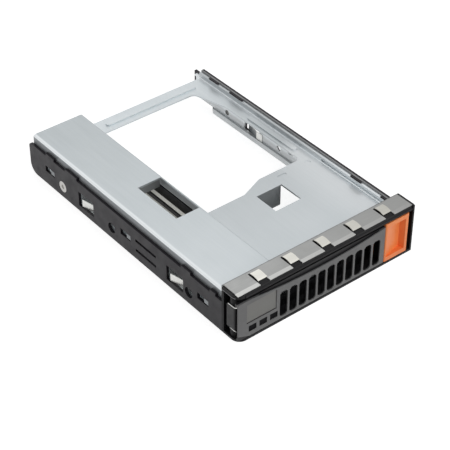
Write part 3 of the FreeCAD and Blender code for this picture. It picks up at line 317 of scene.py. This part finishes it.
def black_paint():
    """Powder coat of the rails: near black with a fine orange peel, a painted highlight on the left rail's
    front end and a grey line along the right rail's top.
    """
    paint = Surface("black_paint", (0.02, 0.02, 0.022), 0.4, Specular_IOR_Level=0.22)
    peel = paint.noise(1600, detail=2)
    paint.tint(paint.noise(60, detail=3), (0.0158, 0.0138, 0.018), (0.0218, 0.0192, 0.0245))
    paint.polish(paint.noise(220), 0.34, 0.48)
    x, y, z = paint.axis("X"), paint.axis("Y"), paint.axis("Z")
    low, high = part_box("left_rail")
    # painted highlight on the left rail's top at its front end
    painted_highlight = paint.every(paint.below(y, low[1] + HIGHLIGHT_END),
                         paint.between(z, high[2] - 2 * EDGE, high[2] + EDGE))
    paint.recolor(painted_highlight, HIGHLIGHT_GREY)
    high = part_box("right_rail")[1]
    # a line along the right rail's top is painted grey
    grey_line = paint.every(paint.between(x, high[0] - LINE_INNER, high[0] - LINE_OUTER),
                       paint.above(z, high[2] - LINE_DEPTH))
    paint.recolor(grey_line, (0.36, 0.365, 0.37))
    return paint.bump(peel, 0.03 * MM, 0.5).material


def grained_plastic(name, dark, light, roughness, specular):
    """Moulded plastic with a fine spark-eroded grain."""
    plastic = Surface(name, dark, roughness, Specular_IOR_Level=specular)
    grain = plastic.noise(2600, detail=3)
    plastic.tint(plastic.noise(70, detail=3), dark, light)
    plastic.polish(plastic.noise(300), roughness - 0.05, roughness + 0.07)
    return plastic.bump(grain, 0.03 * MM, 0.6)


def lever_plastic():
    """Grey plastic of the lever; its barrel is painted black, and behind its front the dip, slots and
    notches are painted black as painted shade.
    """
    plastic = grained_plastic("lever_plastic", (0.126, 0.126, 0.127), (0.152, 0.152, 0.153), 0.42, 0.3)
    low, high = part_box("lever")
    along, depth, height = (plastic.axis(name, start) for name, start in zip("XYZ", low))
    label_right = LABEL_LEFT + LABEL_WIDTH
    label = plastic.every(plastic.between(along, LABEL_LEFT, label_right),
                          plastic.between(height, LABEL_LOW, LABEL_TOP))
    plastic.recolor(label, (0.182, 0.181, 0.172))
    barrel = plastic.every(plastic.above(depth, BARREL_DEPTH), plastic.below(along, BARREL_LENGTH))
    dip = plastic.every(plastic.above(depth, DIP_DEPTH), plastic.above(height, DIP_HEIGHT))
    slope = plastic.math("ADD", plastic.math("MULTIPLY", along, CORNER_SLOPE), height)
    corner = plastic.below(slope, CORNER_HEIGHT)
    slots = plastic.every(plastic.between(plastic.axis("Z"), low[2] + EDGE, high[2] - EDGE),
                          plastic.between(plastic.axis("X"), low[0] + LABEL_LEFT, high[0] - EDGE),
                          plastic.above(depth, EDGE))
    notches = plastic.every(plastic.between(along, LABEL_LEFT, label_right + NOTCH_ROOM),
                            plastic.between(height, NOTCH_LOW, LABEL_LOW), plastic.above(depth, NOTCH_DEPTH))
    # painted shade: the dip, slots and notches are painted black behind the lever's front; the barrel is
    # painted black too
    for mask in (barrel, dip, corner, slots, notches):
        plastic.recolor(mask, BLACK)
    return plastic.material


def bezel_plastic():
    """Black plastic of the bezel, with a painted highlight along its left end's lower edge, and grey on top
    behind the strip.
    """
    plastic = grained_plastic("bezel_plastic", BLACK, SOFT_BLACK, 0.45, 0.14)
    x, y, z = plastic.axis("X"), plastic.axis("Y"), plastic.axis("Z")
    low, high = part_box("bezel")
    # painted highlight along the lower edge of the bezel's left end
    painted_highlight = plastic.every(plastic.between(z, BEZEL_LIP, BEZEL_LIP + EDGE), plastic.below(x, low[0] + EDGE))
    plastic.recolor(painted_highlight, HIGHLIGHT_GREY)
    strip_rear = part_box("contact_strip")[1][1]
    behind_strip = plastic.every(plastic.above(z, high[2] - EDGE), plastic.above(y, strip_rear - STRIP_LAP))
    return plastic.recolor(behind_strip, (0.3, 0.305, 0.305)).material


def orange_plastic():
    """Satin orange of the release button."""
    plastic = Surface("orange_plastic", (0.92, 0.26, 0.068), 0.38, Specular_IOR_Level=0.5)
    plastic.tint(plastic.noise(90, detail=2), (0.89, 0.238, 0.062), (0.95, 0.28, 0.076))
    plastic.polish(plastic.noise(400), 0.32, 0.44)
    return plastic.bump(plastic.noise(2200), 0.02 * MM, 0.4).material


def spring_steel(name, dark, light, roughness):
    """Bright strip steel, drawn along its length."""
    steel = Surface(name, dark, roughness, 0.8)
    lines = steel.noise(1500, stretch=(0.06, 1, 1), detail=3)
    steel.tint(steel.noise(120, detail=3), dark, light)
    steel.polish(lines, roughness - 0.06, roughness + 0.08)
    return steel.bump(lines, 0.01 * MM, 0.4)


def leaf_steel():
    """Bright leaves; those on the right are painted dark on their inner side, as painted shade."""
    steel = spring_steel("leaf_steel", (0.74, 0.74, 0.71), (0.82, 0.82, 0.80), 0.34)
    split = steel.tree.nodes.new("ShaderNodeSeparateXYZ")
    steel.link(steel.tree.nodes.new("ShaderNodeTexCoord").outputs["Normal"], split.inputs["Vector"])
    on_right = steel.above(steel.axis("X"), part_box("right_front_leaf")[0][0])
    # painted shade on the inner side of the right leaves
    inner = steel.every(on_right, steel.below(split.outputs["X"], 0))
    return steel.recolor(inner, (0.22, 0.23, 0.235)).material


def strip_steel():
    """Dull strip steel with painted highlights on its fingers and front edge; painted shade dims all of it
    towards the strip's right end.
    """
    steel = spring_steel("strip_steel", (0.36, 0.365, 0.36), (0.43, 0.435, 0.43), 0.42)
    low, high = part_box("contact_strip")
    x, y = steel.axis("X"), steel.axis("Y")
    along = steel.axis("X", low[0] + FINGER_INSET)
    fingers = steel.every(steel.between(steel.math("FLOORED_MODULO", along, FINGER_PITCH), 0, FINGER_WIDTH),
                          steel.between(y, low[1] + FINGER_FRONT, low[1] + FINGER_REAR),
                          steel.between(along, 0, FINGER_COUNT * FINGER_PITCH))
    # painted highlights on the fingers and front edge; painted shade dims the strip towards its right end
    edge = steel.below(y, low[1] + EDGE_DEPTH)
    dim = steel.rise("X", low[0], high[0])
    steel.recolor(dim, (0.32, 0.322, 0.316))
    steel.recolor(edge, (0.62, 0.625, 0.61)).recolor(steel.every(edge, dim), (0.34, 0.34, 0.335))
    steel.recolor(fingers, (0.84, 0.83, 0.77)).recolor(steel.every(fingers, dim), (0.48, 0.47, 0.43))
    return steel.recolor(steel.above(x, high[0] - STRIP_END), SOFT_BLACK).material


def smoked_plastic():
    """Dark clear lens of the lamp windows."""
    plastic = Surface("smoked_plastic", (0.01, 0.01, 0.011), 0.4, Specular_IOR_Level=0.02)
    plastic.tint(plastic.noise(150, detail=2), (0.006, 0.006, 0.007), (0.010, 0.010, 0.011))
    return plastic.bump(plastic.noise(900), 0.02 * MM, 0.3).material


def clear_plastic():
    """Milky light pipe acrylic, with a faint painted glow."""
    # painted glow: the light pipes give off a little light though no lamp feeds them
    plastic = Surface("clear_plastic", (0.9, 0.9, 0.86), 0.18, Transmission_Weight=0.12, IOR=1.49,
                      Emission_Color=(1, 1, 0.92, 1), Emission_Strength=0.2)
    plastic.tint(plastic.noise(150, detail=2), (0.86, 0.86, 0.82), (0.93, 0.93, 0.90))
    return plastic.bump(plastic.noise(600), 0.02 * MM, 0.3).material


def dress(nodes, material):
    """Give CAD nodes a material on every one of their slots."""
    for name in nodes:
        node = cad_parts[name]
        if not node.material_slots:
            node.data.materials.append(material)
        for slot in node.material_slots:
            slot.material = material


def soften(nodes, width):
    """Break the sharp edges of CAD nodes with a small round, as dies and moulds leave them."""
    for name in nodes:
        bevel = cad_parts[name].modifiers.new("edge_break", "BEVEL")
        bevel.width = width
        bevel.segments = 2
        bevel.limit_method = "ANGLE"
        bevel.angle_limit = math.radians(SHARP_ANGLE)
        bevel.harden_normals = True


# ---- small pieces ----------------------------------------------------------------------------

def make_wire(name, points, body, material):
    """Smooth bent wire through points given in millimetres."""
    curve = bpy.data.curves.new(name, "CURVE")
    curve.dimensions = "3D"
    curve.bevel_depth = WIRE_RADIUS
    curve.bevel_resolution = 3
    curve.use_fill_caps = True
    spline = curve.splines.new("NURBS")
    spline.points.add(len(points) - 1)
    for target, point in zip(spline.points, points):
        target.co = (*(value * MM for value in point), 1)
    spline.order_u = 3
    spline.use_endpoint_u = True
    spline.resolution_u = 8
    curve.materials.append(material)
    wire = bpy.data.objects.new(name, curve)
    bpy.context.scene.collection.objects.link(wire)
    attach(wire, body)


# ---- stage -----------------------------------------------------------------------------------

def seen_directly(tree):
    """1 for rays from the camera, a mirror or through glass, else 0."""
    path = tree.nodes.new("ShaderNodeLightPath")
    total = path.outputs["Is Camera Ray"]
    for kind in ("Is Glossy Ray", "Is Transmission Ray"):
        either = tree.nodes.new("ShaderNodeMath")
        either.operation = "MAXIMUM"
        tree.links.new(total, either.inputs[0])
        tree.links.new(path.outputs[kind], either.inputs[1])
        total = either.outputs["Value"]
    return total


def make_floor():
    """Plain white floor: a glow lifts it to white and leaves the caddy's shadow on it; under the caddy the
    glow is left out, as painted shadow.
    """
    mesh = bpy.data.meshes.new("floor")
    corners = [(x * FLOOR_SIZE, y * FLOOR_SIZE, 0) for x, y in ((-1, -1), (1, -1), (1, 1), (-1, 1))]
    mesh.from_pydata(corners, [], [(0, 1, 2, 3)])
    floor = bpy.data.objects.new("floor", mesh)
    low, high = cad_box
    floor.location.z = low[2] - FLOOR_GAP
    bpy.context.scene.collection.objects.link(floor)
    surface = Surface("floor", (0.6, 0.6, 0.6), 0.9, Specular_IOR_Level=0.1, Emission_Color=(1, 1, 1, 1))
    surface.tint(surface.noise(3, detail=1), (0.59, 0.59, 0.59), (0.61, 0.61, 0.61))
    x, y = surface.axis("X"), surface.axis("Y")
    # painted shadow: the floor's glow is left out under the caddy
    left, front = low[0] + SHADE_INSET, low[1] + SHADE_INSET
    front_shade = surface.every(surface.between(x, left, high[0] - SHADE_INSET),
                                surface.between(y, front, low[1] + SHADE_LENGTH))
    left_shade = surface.every(surface.between(x, left, low[0] + SHADE_WIDTH),
                               surface.between(y, front, high[1] - SHADE_END))
    open_floor = surface.math("SUBTRACT", 1.0, surface.math("MAXIMUM", front_shade, left_shade))
    glow = surface.every(seen_directly(surface.tree), open_floor)
    surface.link(surface.math("MULTIPLY", glow, FLOOR_GLOW), surface.shader.inputs["Emission Strength"])
    floor.data.materials.append(surface.material)


def make_world():
    """White surroundings that light the caddy less than they show."""
    world = bpy.data.worlds.new("studio")
    world.use_nodes = True
    background = world.node_tree.nodes["Background"]
    background.inputs["Color"].default_value = (1, 1, 1, 1)
    strength = world.node_tree.nodes.new("ShaderNodeMapRange")
    strength.inputs["To Min"].default_value = WORLD_LIGHT
    world.node_tree.links.new(seen_directly(world.node_tree), strength.inputs["Value"])
    world.node_tree.links.new(strength.outputs["Result"], background.inputs["Strength"])
    bpy.context.scene.world = world


def make_light(name, place, power):
    """Square soft box aimed at the caddy."""
    lamp = bpy.data.lights.new(name, "AREA")
    lamp.shape = "SQUARE"
    lamp.size = LIGHT_SIZE
    lamp.energy = power
    light = bpy.data.objects.new(name, lamp)
    light.location = place
    light.rotation_euler = (-Vector(place)).to_track_quat("-Z", "Y").to_euler()
    bpy.context.scene.collection.objects.link(light)


def make_camera():
    """Camera at the three-quarter view from the left, above the front."""
    azimuth, elevation = math.radians(CAMERA_AZIMUTH), math.radians(CAMERA_ELEVATION)
    forward = Vector((math.sin(azimuth) * math.cos(elevation),
                      math.cos(azimuth) * math.cos(elevation), -math.sin(elevation)))
    data = bpy.data.cameras.new("camera")
    data.lens = CAMERA_LENS
    data.sensor_width = SENSOR_WIDTH
    data.clip_start = CAMERA_NEAR
    camera = bpy.data.objects.new("camera", data)
    camera.location = Vector(CAMERA_AIM) - forward * CAMERA_DISTANCE
    camera.rotation_euler = forward.to_track_quat("-Z", "Y").to_euler()
    bpy.context.scene.collection.objects.link(camera)
    bpy.context.scene.camera = camera


cad_box = [list(corner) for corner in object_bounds()]
bpy.context.scene.view_settings.view_transform = "Standard"

dress(["tray"], zinc_steel())
dress(["left_rail", "right_rail"], black_paint())
dress(["bezel", "pipe_channel"], bezel_plastic())
dress(["lever"], lever_plastic())
dress(["lamp_lens"], smoked_plastic())
dress(["release_button"], orange_plastic())
dress(["contact_strip"], strip_steel())
leg_steel = leaf_steel()
dress(["left_front_leaf", "left_rear_leaf", "right_front_leaf", "right_rear_leaf", "lever_spring",
       "button_spring"], leg_steel)
dress(["left_rail_screw", "right_rail_screw", "left_bezel_screw", "right_bezel_screw", "lever_pin"],
      spring_steel("screw_steel", (0.51, 0.50, 0.48), (0.60, 0.59, 0.57), 0.32).material)
dress(["upper_pipe", "lower_pipe"], clear_plastic())
soften(["tray", "left_rail", "right_rail"], SHEET_BREAK)
soften(["bezel", "lever", "release_button"], MOULD_BREAK)
soften(["contact_strip"], STRIP_BREAK)

make_wire("upper_spring_leg", UPPER_LEG, "lever", leg_steel)
make_wire("lower_spring_leg", LOWER_LEG, "lever", leg_steel)
make_floor()
make_world()
for name, place, power in LIGHTS:
    make_light(name, place, power)
make_camera()
